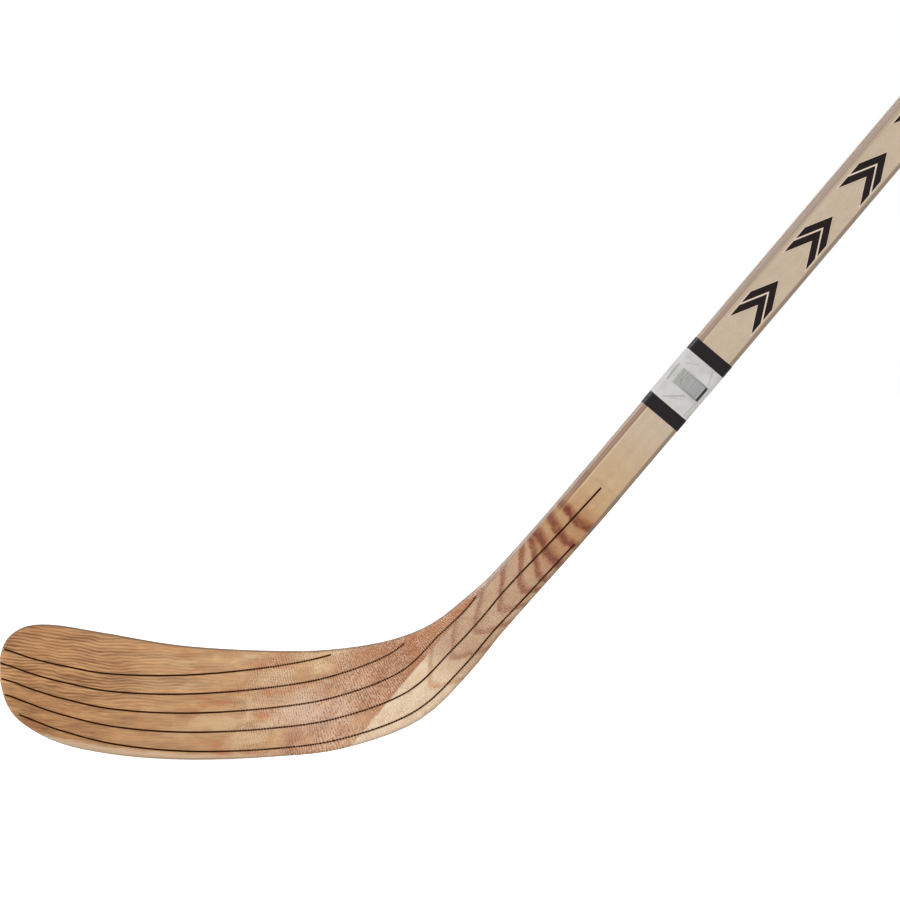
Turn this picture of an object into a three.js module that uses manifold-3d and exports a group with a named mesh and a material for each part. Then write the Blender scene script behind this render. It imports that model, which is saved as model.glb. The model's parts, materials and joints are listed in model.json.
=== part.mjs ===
// Ice hockey stick for a right-handed player, built as the traditional wooden stick is built: a
// laminated shaft whose centre ply stops short to take the tenon of a curved ash blade, a forked
// heel block in the angle between them, and glass cloth over both faces of the blade and heel.
//
// Millimetres, +Z up. The stick stands in the XZ plane with the toe towards -X and the shaft
// rising towards +X, its sole on the ice and the forehand face of the blade towards -Y. It is
// drawn about its heel, the point where the line of the shaft's back edge meets the ice, and the
// finished group is moved to stand over the middle of its own box.
//
// On the shaft, s runs up from the heel along the back edge and q runs across from that edge.

import * as THREE from "three";
import { mergeVertices } from "three/addons/utils/BufferGeometryUtils.js";
import Module from "manifold-3d";

const wasm = await Module();
wasm.setup();

const degrees = THREE.MathUtils.degToRad;

// Shaft
const LIE_ANGLE = degrees(49.74); // between the shaft and the ice
const SHAFT_LENGTH = 1500; // s of the butt
const GRIP_START = 1250; // s where the upper hand's grip begins
const SHAFT_WIDTH = 29.5;
const SHAFT_THICKNESS = 20;
const CORNER_RADIUS = 3;
const CORNER_SHARE = 0.6; // largest corner radius as a share of half the thickness, on the thin blade

// Laminations, as distances from the middle plane of the stick
const CENTRE_PLY = 3.5; // also half the thickness of the tenon
const INNER_PLY = 5.95;
const OUTER_PLY = 8.4;
const OUTER_PLY_START = 86; // s below which the taper has planed the outer ply away
const VENEER_START = 207; // s below which it has planed the face veneer away
const GLUE_LINE = 0.1;

// Heel joint
const HEEL_BLOCK_WIDTH = 29.5; // in q, from the shaft's top edge to the root of the blade
const HEEL_BLOCK_END = 150; // s of its upper tip
const TENON_END = 118; // s of the bottom of the slot in the shaft

// Curve of the blade
const CURVE_START = -20; // x
const TOE_X = -253.7;
const TOE_SWEEP = 43; // how far the toe stands forward of the shaft's middle plane
const OPEN_FACE = degrees(7); // how far the face leans back at the toe
const FACE_MIDDLE = 38; // height that it leans about

// Glass cloth and its tracer yarns
const CLOTH_GAP = 0.06;
const CLOTH_THICKNESS = 0.34;
const CLOTH_WRAP = degrees(30); // how far down the rounded corner the cloth ends, 90 being the face
const CLOTH_END = 216; // s
const YARN_COUNT = 5;
const YARN_WIDTH = 1.0;
const YARN_THICKNESS = 0.25;
const YARN_LIFT = 0.1;
const YARN_MARGIN = 3; // bare edge beside the outermost yarn

// Bands, wrap, label and printed marks on the shaft
const BAND_WIDTH = 9;
const LOWER_BAND_START = 272.3; // s
const WRAP_START = 281.4;
const WRAP_END = 317.2;
const SLEEVE_GAP = 0.06;
const SLEEVE_THICKNESS = 0.2;
const LABEL_LENGTH = 11.5; // in s
const LABEL_WIDTH = 20.5; // in q
const LABEL_CENTRE = [300.3, 12.8]; // s, q
const LABEL_THICKNESS = 0.12;
const MARK_COUNT = 7;
const MARK_FIRST = 368; // s of the first mark's centre
const MARK_PITCH = 53.3;
const MARK_LENGTH = 40;
const MARK_HEIGHT = 19;
const MARK_STROKE = 22; // length of the chevron's straight edges along s
const MARK_THICKNESS = 0.12;
const MARK_MIDDLE = 13; // q

// Loft
const CORNER_STEPS = 6; // flats on each rounded corner
const FACE_STEPS = 2; // facets across the wide faces
const LAYER_STEPS = 40; // facets along the bent part of a lamination
const BEYOND = 60; // how far a cutting solid runs past the wood

const ALONG = new THREE.Vector3(Math.cos(LIE_ANGLE), 0, Math.sin(LIE_ANGLE));
const ACROSS = new THREE.Vector3(-Math.sin(LIE_ANGLE), 0, Math.cos(LIE_ANGLE));
const FRONT = new THREE.Vector3(0, -1, 0);
const BACK_SIDE = 1;
const FRONT_SIDE = -1;

// x and z of a point given along and across the shaft.
const onShaft = (s, q) => [s * ALONG.x + q * ACROSS.x, s * ALONG.z + q * ACROSS.z];

// The outline's key stations from toe to butt. Each has a point on the top edge and one on the
// sole edge, in x and z, the thickness of the wood, how far the lowest yarn is from the sole edge
// and the spacing of the yarns above it, and how many lofted steps lead to the next key.
const TOE_TO_HEEL = [
  { top: [TOE_X, 65.5], sole: [TOE_X, 51.0], thickness: 3.0, yarns: [-17.8, 9.6], steps: 3 },
  { top: [-251.0, 74.0], sole: [-250.5, 38.5], thickness: 4.6, yarns: [-6.2, 9.6], steps: 3 },
  { top: [-245.5, 80.5], sole: [-244.5, 28.5], thickness: 5.2, yarns: [2, 9.6], steps: 3 },
  { top: [-236.0, 85.0], sole: [-233.5, 19.8], thickness: 5.3, yarns: [6.3, 9.8], steps: 3 },
  { top: [-222.0, 85.8], sole: [-215.7, 11.1], thickness: 5.4, yarns: [8.3, 10.5], steps: 4 },
  { top: [-190.0, 80.8], sole: [-184.0, 4.0], thickness: 5.7, yarns: [6.8, 11.1], steps: 6 },
  { top: [-140.0, 72.3], sole: [-139.0, 0.2], thickness: 6.4, yarns: [5.3, 12.0], steps: 7 },
  { top: [-82.0, 68.7], sole: [-82.0, 1.6], thickness: 7.2, yarns: [5.0, 13.0], steps: 5 },
  { top: [-44.0, 69.4], sole: [-37.3, 6.5], thickness: 8.4, yarns: [6.2, 13.5], steps: 5 },
  { top: [-5.7, 75.6], sole: [12.9, 24.9], thickness: 9.8, yarns: [6.5, 13.4], steps: 4 },
  { top: [19.6, 85.5], sole: [44.3, 54.7], thickness: 11.0, yarns: [5.8, 12.6], steps: 3 },
  { top: [40.2, 101.0], sole: [62.9, 77.7], thickness: 12.6, yarns: [5.0, 11.2], steps: 3 },
];
const UP_THE_SHAFT = [
  { s: 126, q: [31.4, 1.8], thickness: 14.4, yarns: [4.2, 12.5], steps: 4 },
  { s: 176, q: [SHAFT_WIDTH + 0.2, 0.5], thickness: 16.5, yarns: [3.1, 12.0], steps: 4 },
  { s: 214, q: [SHAFT_WIDTH, 0], thickness: 18.2, yarns: [1.3, 12.6], steps: 3 },
  { s: 240, q: [SHAFT_WIDTH, 0], thickness: 19.4, yarns: [0, 12.6], steps: 2 },
  { s: 265, q: [SHAFT_WIDTH, 0], thickness: SHAFT_THICKNESS, yarns: [0, 12.6], steps: 1 },
  { s: GRIP_START, q: [SHAFT_WIDTH, 0], thickness: SHAFT_THICKNESS, yarns: [0, 12.6], steps: 1 },
  { s: SHAFT_LENGTH, q: [SHAFT_WIDTH, 0], thickness: SHAFT_THICKNESS, yarns: [0, 12.6], steps: 0 },
];
const KEYS = [
  ...TOE_TO_HEEL,
  ...UP_THE_SHAFT.map((key) => ({ ...key, top: onShaft(key.s, key.q[0]), sole: onShaft(key.s, key.q[1]) })),
];

// A smooth curve through one value of every key. All such curves keep step with each other,
// because the same share of a curve's range falls between the same two keys.
function keyCurve(pointOf) {
  return new THREE.CatmullRomCurve3(KEYS.map(pointOf), false, "centripetal");
}

const topCurve = keyCurve((key) => new THREE.Vector3(key.top[0], key.thickness / 2, key.top[1]));
const soleCurve = keyCurve((key) => new THREE.Vector3(key.sole[0], key.thickness / 2, key.sole[1]));
const yarnCurve = keyCurve((key) => new THREE.Vector3(...key.yarns, key.top[0]));

// One cross-section of the unbent stick: its middle, the direction and half size of its width,
// half its thickness, the radius of its corners and where the yarns cross it.
function stationAt(share) {
  const top = topCurve.getPoint(share);
  const sole = soleCurve.getPoint(share);
  const yarns = yarnCurve.getPoint(share);
  const halfThickness = top.y;
  top.y = 0;
  sole.y = 0;
  return {
    middle: top.clone().add(sole).multiplyScalar(0.5),
    across: top.clone().sub(sole).normalize(),
    halfWidth: top.distanceTo(sole) / 2,
    halfThickness,
    radius: Math.min(CORNER_RADIUS, CORNER_SHARE * halfThickness),
    firstYarn: yarns.x,
    yarnPitch: yarns.y,
  };
}

const stations = KEYS.flatMap((key, n) => {
  const count = n === KEYS.length - 1 ? 1 : key.steps;
  return Array.from({ length: count }, (_, step) => stationAt((n + step / count) / (KEYS.length - 1)));
});

// Moves a point of the flat stick into the blade's curve and leans the face back.
function bend(point) {
  const reach = Math.max(0, (CURVE_START - point.x) / (CURVE_START - TOE_X));
  const lean = Math.tan(OPEN_FACE) * (point.z - FACE_MIDDLE);
  point.y += (lean - TOE_SWEEP) * reach ** 2;
  return point;
}

// The bent place of a point of a station's section: so far from its middle towards the top edge,
// and at this depth behind the middle plane, or in front of it if negative.
function placed(station, width, depth) {
  const point = station.middle.clone().addScaledVector(station.across, width);
  point.y = depth;
  return bend(point);
}

// A closed solid of columns x rows x layers cells, whose corner (i, j, k) goes where place says.
// Columns run from the toe up, rows from the sole up and layers from the back to the front.
function lattice(columns, rows, layers, place) {
  const box = new THREE.BoxGeometry(1, 1, 1, columns, rows, layers);
  box.deleteAttribute("normal");
  box.deleteAttribute("uv");
  const geometry = mergeVertices(box);
  const position = geometry.getAttribute("position");
  for (let v = 0; v < position.count; v++) {
    const i = Math.round((position.getX(v) + 0.5) * columns);
    const j = Math.round((position.getY(v) + 0.5) * rows);
    const k = Math.round((position.getZ(v) + 0.5) * layers);
    const point = place(i, j, k);
    position.setXYZ(v, point.x, point.y, point.z);
  }
  return geometry;
}

function solidOf(geometry) {
  return new wasm.Manifold(
    new wasm.Mesh({
      numProp: 3,
      vertProperties: geometry.getAttribute("position").array,
      triVerts: new Uint32Array(geometry.index.array),
    }),
  );
}

function geometryOf(solid) {
  const mesh = solid.getMesh();
  const geometry = new THREE.BufferGeometry();
  geometry.setAttribute("position", new THREE.BufferAttribute(mesh.vertProperties, mesh.numProp));
  geometry.setIndex(new THREE.BufferAttribute(mesh.triVerts, 1));
  return geometry;
}

const joined = (...solids) => solids.reduce((whole, solid) => whole.add(solid));

// The whole wooden stick with its rounded corners, grown outwards by some distance.
function envelope(growth) {
  const layers = 2 * CORNER_STEPS + 1;
  return solidOf(
    lattice(stations.length - 1, FACE_STEPS, layers, (i, j, k) => {
      const station = stations[i];
      const side = k <= CORNER_STEPS ? BACK_SIDE : FRONT_SIDE;
      const step = side === BACK_SIDE ? CORNER_STEPS - k : k - CORNER_STEPS - 1;
      const angle = (step / CORNER_STEPS) * (Math.PI / 2);
      const radius = station.radius + growth;
      const width = station.halfWidth - station.radius + radius * Math.cos(angle);
      const depth = station.halfThickness - station.radius + radius * Math.sin(angle);
      return placed(station, width * ((2 * j) / FACE_STEPS - 1), side * depth);
    }),
  );
}

// Everything of the stick between two distances along the shaft and two across it.
function zone(lowS, highS, lowQ, highQ) {
  const box = new THREE.BoxGeometry(highS - lowS, 4 * BEYOND, highQ - lowQ);
  box.deleteAttribute("normal");
  box.deleteAttribute("uv");
  const geometry = mergeVertices(box);
  geometry.translate((lowS + highS) / 2, 0, (lowQ + highQ) / 2);
  geometry.rotateY(-LIE_ANGLE);
  return solidOf(geometry);
}

const LOWEST_S = -3 * BEYOND;
const HIGHEST_S = SHAFT_LENGTH + BEYOND;
const LOWEST_Q = -BEYOND;
const HIGHEST_Q = 5 * BEYOND;
const below = (s) => zone(LOWEST_S, s, LOWEST_Q, HIGHEST_Q);
const above = (s) => zone(s, HIGHEST_S, LOWEST_Q, HIGHEST_Q);

// Everything between two distances from the middle plane, bent with the blade.
function layer(lowY, highY) {
  const bentStart = TOE_X - BEYOND;
  const bentLength = CURVE_START - bentStart;
  const curved = lattice(LAYER_STEPS, 1, 1, (i, j, k) => {
    const x = bentStart + (bentLength * i) / LAYER_STEPS;
    const z = j ? 2 * BEYOND : -BEYOND;
    return bend(new THREE.Vector3(x, k ? lowY : highY, z));
  });
  const straight = lattice(1, 1, 1, (i, j, k) => {
    const x = i ? HIGHEST_S : CURVE_START;
    const z = j ? HIGHEST_S : -BEYOND;
    return new THREE.Vector3(x, k ? lowY : highY, z);
  });
  return joined(solidOf(curved), solidOf(straight));
}

// The same, between two distances to the front or the back of the middle plane.
function sideLayer(side, near, far) {
  return side === BACK_SIDE ? layer(near, far) : layer(-far, -near);
}

const HALF_GLUE = GLUE_LINE / 2;
const BLADE_ROOT = SHAFT_WIDTH + HEEL_BLOCK_WIDTH; // q
const wood = envelope(0);

// The shaft's own part of the wood, which widens to everything above the heel block.
const shaftZone = joined(
  zone(LOWEST_S, HIGHEST_S, LOWEST_Q, SHAFT_WIDTH - HALF_GLUE),
  above(HEEL_BLOCK_END + HALF_GLUE),
);

// A lamination between two depths on one side. It starts at one place up the shaft, and below
// another the plies over it are planed away, so that it reaches the surface there.
function ply(side, near, far, start, coveredFrom) {
  const exposed = sideLayer(side, near + HALF_GLUE, BEYOND).intersect(below(coveredFrom - HALF_GLUE));
  const covered = sideLayer(side, near + HALF_GLUE, far - HALF_GLUE);
  return wood.intersect(shaftZone).intersect(joined(exposed, covered)).intersect(above(start + HALF_GLUE));
}

function centrePly() {
  const middle = layer(-CENTRE_PLY + HALF_GLUE, CENTRE_PLY - HALF_GLUE);
  return wood.intersect(shaftZone).intersect(middle).intersect(above(TENON_END + HALF_GLUE));
}

// The tenon's room: the centre ply's depth from the blade's root to the back edge of the shaft.
function tenonRoom(growth) {
  const middle = layer(-CENTRE_PLY - growth, CENTRE_PLY + growth);
  return middle.intersect(zone(LOWEST_S, TENON_END + growth, LOWEST_Q, BLADE_ROOT + 1));
}

function blade() {
  const board = zone(LOWEST_S, HIGHEST_S, BLADE_ROOT + HALF_GLUE, HIGHEST_Q);
  return wood.intersect(joined(board, tenonRoom(-HALF_GLUE)));
}

function heelBlock() {
  const block = zone(LOWEST_S, HEEL_BLOCK_END - HALF_GLUE, SHAFT_WIDTH + HALF_GLUE, BLADE_ROOT - HALF_GLUE);
  return wood.intersect(block).subtract(tenonRoom(HALF_GLUE));
}

// Space over one face, ending partway down its rounded corners.
function faceRegion(side) {
  return solidOf(
    lattice(stations.length - 1, 1, 1, (i, j, k) => {
      const station = stations[i];
      const near = station.halfThickness - station.radius * (1 - Math.sin(CLOTH_WRAP));
      const far = station.halfThickness + BEYOND;
      const outer = side === BACK_SIDE ? k === 0 : k === 1;
      const width = station.halfWidth + BEYOND / 10;
      return placed(station, j ? width : -width, side * (outer ? far : near));
    }),
  );
}

// A skin of even thickness over the wood, some distance clear of it.
function skin(gap, thickness) {
  return envelope(gap + thickness).subtract(envelope(gap));
}

function glassCloth(side) {
  return skin(CLOTH_GAP, CLOTH_THICKNESS).intersect(faceRegion(side)).intersect(below(CLOTH_END));
}

// A sleeve right round the shaft, such as a band of tape.
function sleeve(start, end) {
  const length = zone(start + HALF_GLUE, end - HALF_GLUE, LOWEST_Q, BEYOND);
  return skin(SLEEVE_GAP, SLEEVE_THICKNESS).intersect(length);
}

// A flat yarn on the cloth, counted from the top edge. It runs as far as the face is wide enough.
function tracerYarn(side, number) {
  const place = (station) => station.firstYarn + (YARN_COUNT - number) * station.yarnPitch;
  const crossed = stations.filter((station) => {
    const topRoom = 2 * station.halfWidth - place(station);
    const onCloth = station.middle.dot(ALONG) < CLOTH_END;
    return onCloth && Math.min(place(station), topRoom) > YARN_MARGIN;
  });
  const underside = CLOTH_GAP + CLOTH_THICKNESS + YARN_LIFT;
  return lattice(crossed.length - 1, 1, 1, (i, j, k) => {
    const station = crossed[i];
    const width = place(station) - station.halfWidth + (j - 0.5) * YARN_WIDTH;
    const outer = side === BACK_SIDE ? k === 0 : k === 1;
    const depth = station.halfThickness + underside + (outer ? YARN_THICKNESS : 0);
    return placed(station, width, side * depth);
  });
}

// A chevron that points up the shaft, drawn with x along s and y along q about its own middle.
function chevron() {
  const nose = MARK_LENGTH / 2;
  const half = MARK_HEIGHT / 2;
  const outline = [
    [-nose, -half],
    [MARK_STROKE - nose, -half],
    [nose, 0],
    [MARK_STROKE - nose, half],
    [-nose, half],
    [nose - MARK_STROKE, 0],
  ];
  const shape = new THREE.Shape(outline.map(([x, y]) => new THREE.Vector2(x, y)));
  return new THREE.ExtrudeGeometry(shape, { depth: MARK_THICKNESS, bevelEnabled: false });
}

const MATERIALS = {
  ash: { color: "#c4935f", roughness: 0.4 },
  heelWood: { color: "#c08a54", roughness: 0.4 },
  aspen: { color: "#dcbc96", roughness: 0.4 },
  birch: { color: "#e4cba6", roughness: 0.35 },
  core: { color: "#c9a27c", roughness: 0.45 },
  glassCloth: { color: "#cda274", roughness: 0.3 },
  blackYarn: { color: "#1b191a", roughness: 0.5 },
  blackBand: { color: "#1e1719", roughness: 0.3 },
  whiteWrap: { color: "#d8d6d3", roughness: 0.25 },
  greyLabel: { color: "#a5a5a2", roughness: 0.4 },
  markInk: { color: "#231c1c", roughness: 0.35 },
};

const stick = new THREE.Group();

// Adds one named piece of the stick.
function add(name, look, geometry, parent = stick) {
  const mesh = new THREE.Mesh(geometry, new THREE.MeshStandardMaterial({ metalness: 0, ...MATERIALS[look] }));
  mesh.name = name;
  parent.add(mesh);
  return mesh;
}

function addShaft() {
  add("shaft_centre_ply", "core", geometryOf(centrePly()));
  for (const [name, side] of [["front", FRONT_SIDE], ["back", BACK_SIDE]]) {
    const inner = ply(side, CENTRE_PLY, INNER_PLY, LOWEST_S, OUTER_PLY_START);
    const outer = ply(side, INNER_PLY, OUTER_PLY, OUTER_PLY_START, VENEER_START);
    const veneer = ply(side, OUTER_PLY, BEYOND, VENEER_START, VENEER_START);
    add(`shaft_inner_ply_${name}`, "aspen", geometryOf(inner));
    add(`shaft_outer_ply_${name}`, "aspen", geometryOf(outer));
    add(`shaft_face_veneer_${name}`, "birch", geometryOf(veneer));
  }
}

function addCloth() {
  for (const [name, side] of [["front", FRONT_SIDE], ["back", BACK_SIDE]]) {
    add(`glass_cloth_${name}`, "glassCloth", geometryOf(glassCloth(side)));
    for (let number = 1; number <= YARN_COUNT; number++) {
      add(`tracer_yarn_${name}_${number}`, "blackYarn", tracerYarn(side, number));
    }
  }
}

function addBands() {
  add("lower_black_band", "blackBand", geometryOf(sleeve(LOWER_BAND_START, WRAP_START)));
  add("white_wrap_band", "whiteWrap", geometryOf(sleeve(WRAP_START, WRAP_END)));
  add("upper_black_band", "blackBand", geometryOf(sleeve(WRAP_END, WRAP_END + BAND_WIDTH)));
}

// The label and the marks lie flat on the shaft's front face, drawn in s and q.
function addPrinting() {
  const front = new THREE.Group();
  front.applyMatrix4(new THREE.Matrix4().makeBasis(ALONG, ACROSS, FRONT));
  stick.add(front);
  const plate = new THREE.BoxGeometry(LABEL_LENGTH, LABEL_WIDTH, LABEL_THICKNESS);
  const label = add("grey_label", "greyLabel", plate, front);
  const onWrap = SHAFT_THICKNESS / 2 + SLEEVE_GAP + SLEEVE_THICKNESS + SLEEVE_GAP;
  label.position.set(...LABEL_CENTRE, onWrap + LABEL_THICKNESS / 2);
  for (let n = 0; n < MARK_COUNT; n++) {
    const mark = add(`printed_mark_${n + 1}`, "markInk", chevron(), front);
    mark.position.set(MARK_FIRST + n * MARK_PITCH, MARK_MIDDLE, SHAFT_THICKNESS / 2 + SLEEVE_GAP);
  }
}

add("blade", "ash", geometryOf(blade()));
add("heel_block", "heelWood", geometryOf(heelBlock()));
addShaft();
addCloth();
addBands();
addPrinting();

const box = new THREE.Box3().setFromObject(stick, true);
const middle = box.getCenter(new THREE.Vector3());
stick.position.set(-middle.x, -middle.y, -box.min.z);

const group = new THREE.Group();
group.add(stick);

export default group;
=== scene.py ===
"""Looks of the wooden ice hockey stick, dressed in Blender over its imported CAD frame.

The scene is in metres and every named dimension below is in millimetres. Places on the stick are
told in the frame of its heel, the point where the line of the shaft's back edge meets the ice:
x and z as in the row frame, s up the shaft along that edge, q across the shaft from that edge,
and y behind the shaft's middle plane, so that the front face looks towards -y.

The wood, the glass cloth over it and its weave share one node group of colours, so that the figure
of the wood runs on under the cloth. Glass cloth wetted out with resin is clear enough to take the
colour of the wood beneath it, so it is painted with that colour instead of being see-through.
"""

import json
import math

import bmesh
import bpy
import numpy as np
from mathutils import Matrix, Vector


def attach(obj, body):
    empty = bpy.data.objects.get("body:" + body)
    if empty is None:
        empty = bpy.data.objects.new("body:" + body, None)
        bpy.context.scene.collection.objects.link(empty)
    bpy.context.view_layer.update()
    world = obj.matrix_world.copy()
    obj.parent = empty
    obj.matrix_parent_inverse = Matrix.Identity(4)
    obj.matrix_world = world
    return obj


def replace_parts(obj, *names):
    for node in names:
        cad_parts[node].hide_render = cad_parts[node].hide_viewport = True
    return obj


MM = 0.001

# The stick, as in the CAD
BUTT_MOUNT_S = 1500.0  # the record's butt mount lies here on the middle plane
BUTT_MOUNT_Q = 10.0
SHAFT_WIDTH = 29.5
SHAFT_THICKNESS = 20.0
CORNER_RADIUS = 3.0
HEEL_SEAM_Q = 29.5  # between the shaft and the heel block
BLADE_SEAM_Q = 59.0  # between the heel block and the blade
HEEL_BLOCK_END_S = 150.0
GLUE_DEPTHS = (3.5, 5.95, 8.4)  # of the glue lines between the plies, from the middle plane
GLUE_LINE_WIDTH = 0.5

# Strips along the edges of the shaft's faces, all in q
STRIP_START = (24.3, 25.1)  # the face fades into the strip between these
PALE_LINE_Q = 24.1
DARK_LINES = ((25.5, 1.3), (27.4, 1.9))  # middle and width
TOP_LINE = (28.6, 2.0)  # middle and width
UPPER_CORNER = (27.6, 28.5)
LOWER_EDGE = (3.1, 2.1)

# Where the taper planes through the thin dark plies of the shaft: the lowest point of each arc in
# s and q, how steeply it climbs the shaft to both sides of that point, its width and its strength.
PLY_ARCS = (
    (48.5, 15.0, 1.45, 8.0, 0.55),
    (71.5, 16.0, 1.60, 9.0, 0.65),
    (92.5, 15.0, 1.90, 9.0, 0.75),
    (113.8, 12.5, 1.55, 8.5, 0.85),
    (131.5, 10.0, 1.30, 9.0, 0.90),
    (145.0, 6.0, 0.80, 8.5, 0.90),
    (158.0, 5.0, 0.36, 12.0, 1.0),
    (172.6, 9.0, 0.36, 9.5, 0.95),
    (187.2, 12.0, 0.16, 10.0, 1.0),
)
ARC_ROUNDING = 3.0  # how blunt the lowest point of an arc is
ARCS_END_S = (212.0, 204.0)  # the last of the arcs' colour fades between these

# Bands and wrap
SLEEVE_SPANS = {
    "lower_black_band": (272.35, 281.35),
    "white_wrap_band": (281.45, 317.15),
    "upper_black_band": (317.25, 326.15),
}
SLEEVE_GAP = 0.06
SLEEVE_THICKNESS = 0.2
SLEEVE_STEP = 0.6
SEAM_SPAN = (8.0, 17.0)  # q of the overlap at the back, where the film lies double
SEAM_STEP = 0.1  # how far the single film lies below the double one
SLEEVE_INSIDE = 0.02  # gap between a sleeve's end rims and the wood
RIM_WIDTH = 0.5  # how far from its ends a sleeve thins
RIM_SHARE = 0.75  # of its thickness that is left at the very end
CREASE_EDGE = 1.5  # depth of the front that creases reach to
CREASE_HIGH = 0.16

# Creases of the white wrap on the front face: s and q of both ends, width and height.
CREASES = (
    ((283.8, 21.5), (292.4, 11.5), 1.1, 0.16),
    ((285.2, 19.0), (290.0, 10.5), 0.8, 0.08),
    ((294.3, 26.8), (305.6, 27.2), 1.5, 0.16),
    ((307.5, 4.0), (316.0, 7.5), 1.2, 0.10),
    ((309.0, 24.5), (313.5, 17.0), 1.0, 0.08),
    ((283.0, 3.6), (293.0, 2.9), 0.9, 0.12),
)

# Grey label, in s and q
LABEL_PRINT_S = ((295.6, 296.4), (305.2, 304.4))  # fades of the streaks at both ends
LABEL_BAR_S = ((295.0, 295.2), (305.4, 305.2))
LABEL_BAR_TOP_Q = (4.3, 4.1)

# Printed marks
MARK_COUNT = 7
MARK_FIRST_S = 368.0
MARK_PITCH = 53.3
MARK_MIDDLE_Q = 13.0
MARK_LENGTH = 40.0
MARK_HEIGHT = 19.0
MARK_STROKE = 22.0
INK_MARGIN = 0.6  # pale outline left round the ink
SLANT_MARGIN = INK_MARGIN * 1.4  # the same outline, measured along s across a mark's slanting sides
INK_GAP = 2.2  # pale stripe between a mark's two bars
INK_THICKNESS = 0.04
PLATE_FACE_Y = -10.18  # front of the CAD's printed plates

# Glass cloth
WEAVE_PITCH = 1.35  # spacing of the crossing yarns
YARN_BEND_CENTRE = (-52.0, 180.0)  # x and z that the yarns turn about at the heel
YARN_BEND_RADIUS = 130.0
YARN_SINK = 0.16  # how far a tracer yarn beds into the resin below the CAD's yarn
YARN_STEP = 0.3
YARN_SPREAD = (1.06, 0.10)  # width beside the CAD yarn's: at its least, and what a swell adds
YARN_DOME = (0.72, 0.28)  # height beside the CAD yarn's, likewise

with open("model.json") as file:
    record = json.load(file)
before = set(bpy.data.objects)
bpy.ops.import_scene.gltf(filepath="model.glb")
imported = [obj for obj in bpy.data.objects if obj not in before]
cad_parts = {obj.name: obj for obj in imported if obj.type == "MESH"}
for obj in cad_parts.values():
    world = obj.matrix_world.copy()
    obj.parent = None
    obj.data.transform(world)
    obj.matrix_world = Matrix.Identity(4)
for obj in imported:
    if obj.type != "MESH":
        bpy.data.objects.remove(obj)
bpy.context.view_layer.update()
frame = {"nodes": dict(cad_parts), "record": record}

butt = next(m for m in frame["record"]["mounts"] if m["name"] == "butt_end_face")
ALONG = Vector(butt["axis"])
ACROSS = Vector((-ALONG.z, 0.0, ALONG.x))
HEEL = Vector(butt["pos_m"]) - (ALONG * BUTT_MOUNT_S + ACROSS * BUTT_MOUNT_Q) * MM
LIE_ANGLE = math.atan2(ALONG.z, ALONG.x)


def on_shaft(s, q, y=0.0):
    """The row-frame place of a point told along and across the shaft."""
    return HEEL + (ALONG * s + ACROSS * q + Vector((0.0, y, 0.0))) * MM


# ---------------------------------------------------------------------------------------------
# Node trees
# ---------------------------------------------------------------------------------------------


def linear(code):
    """The scene-linear colour of a code like "#c8a070"."""
    channels = [int(code[k : k + 2], 16) / 255 for k in (1, 3, 5)]
    return [c / 12.92 if c <= 0.04045 else ((c + 0.055) / 1.055) ** 2.4 for c in channels]


class Value:
    """A socket of a node tree that does arithmetic by adding math nodes to the tree."""

    def __init__(self, graph, socket):
        self.graph = graph
        self.socket = socket

    def _math(self, operation, *others):
        return self.graph.node("Math", [self, *others], operation=operation)

    def __add__(self, other):
        return self._math("ADD", other)

    def __sub__(self, other):
        return self._math("SUBTRACT", other)

    def __mul__(self, other):
        return self._math("MULTIPLY", other)

    def __truediv__(self, other):
        return self._math("DIVIDE", other)

    __radd__ = __add__
    __rmul__ = __mul__

    def __rsub__(self, other):
        return (self * -1.0)._math("ADD", other)

    def sine(self):
        return self._math("SINE")

    def size(self):
        return self._math("ABSOLUTE")

    def power(self, exponent):
        return self._math("POWER", exponent)

    def lowest(self, other):
        return self._math("MINIMUM", other)

    def highest(self, other):
        return self._math("MAXIMUM", other)

    def rise(self, start, end):
        """0 before start and 1 after end, smooth between them. It falls if end is before start."""
        low, high = min(start, end), max(start, end)
        settings = {"interpolation_type": "SMOOTHSTEP", "clamp": True}
        share = self.graph.node("MapRange", [self, float(low), float(high), 0.0, 1.0], **settings)
        return share if end > start else 1.0 - share

    def bump_at(self, place, width):
        """1 at a place, fading smoothly to 0 half a width to either side."""
        return (self - place).size().rise(width / 2, 0.0)


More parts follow.
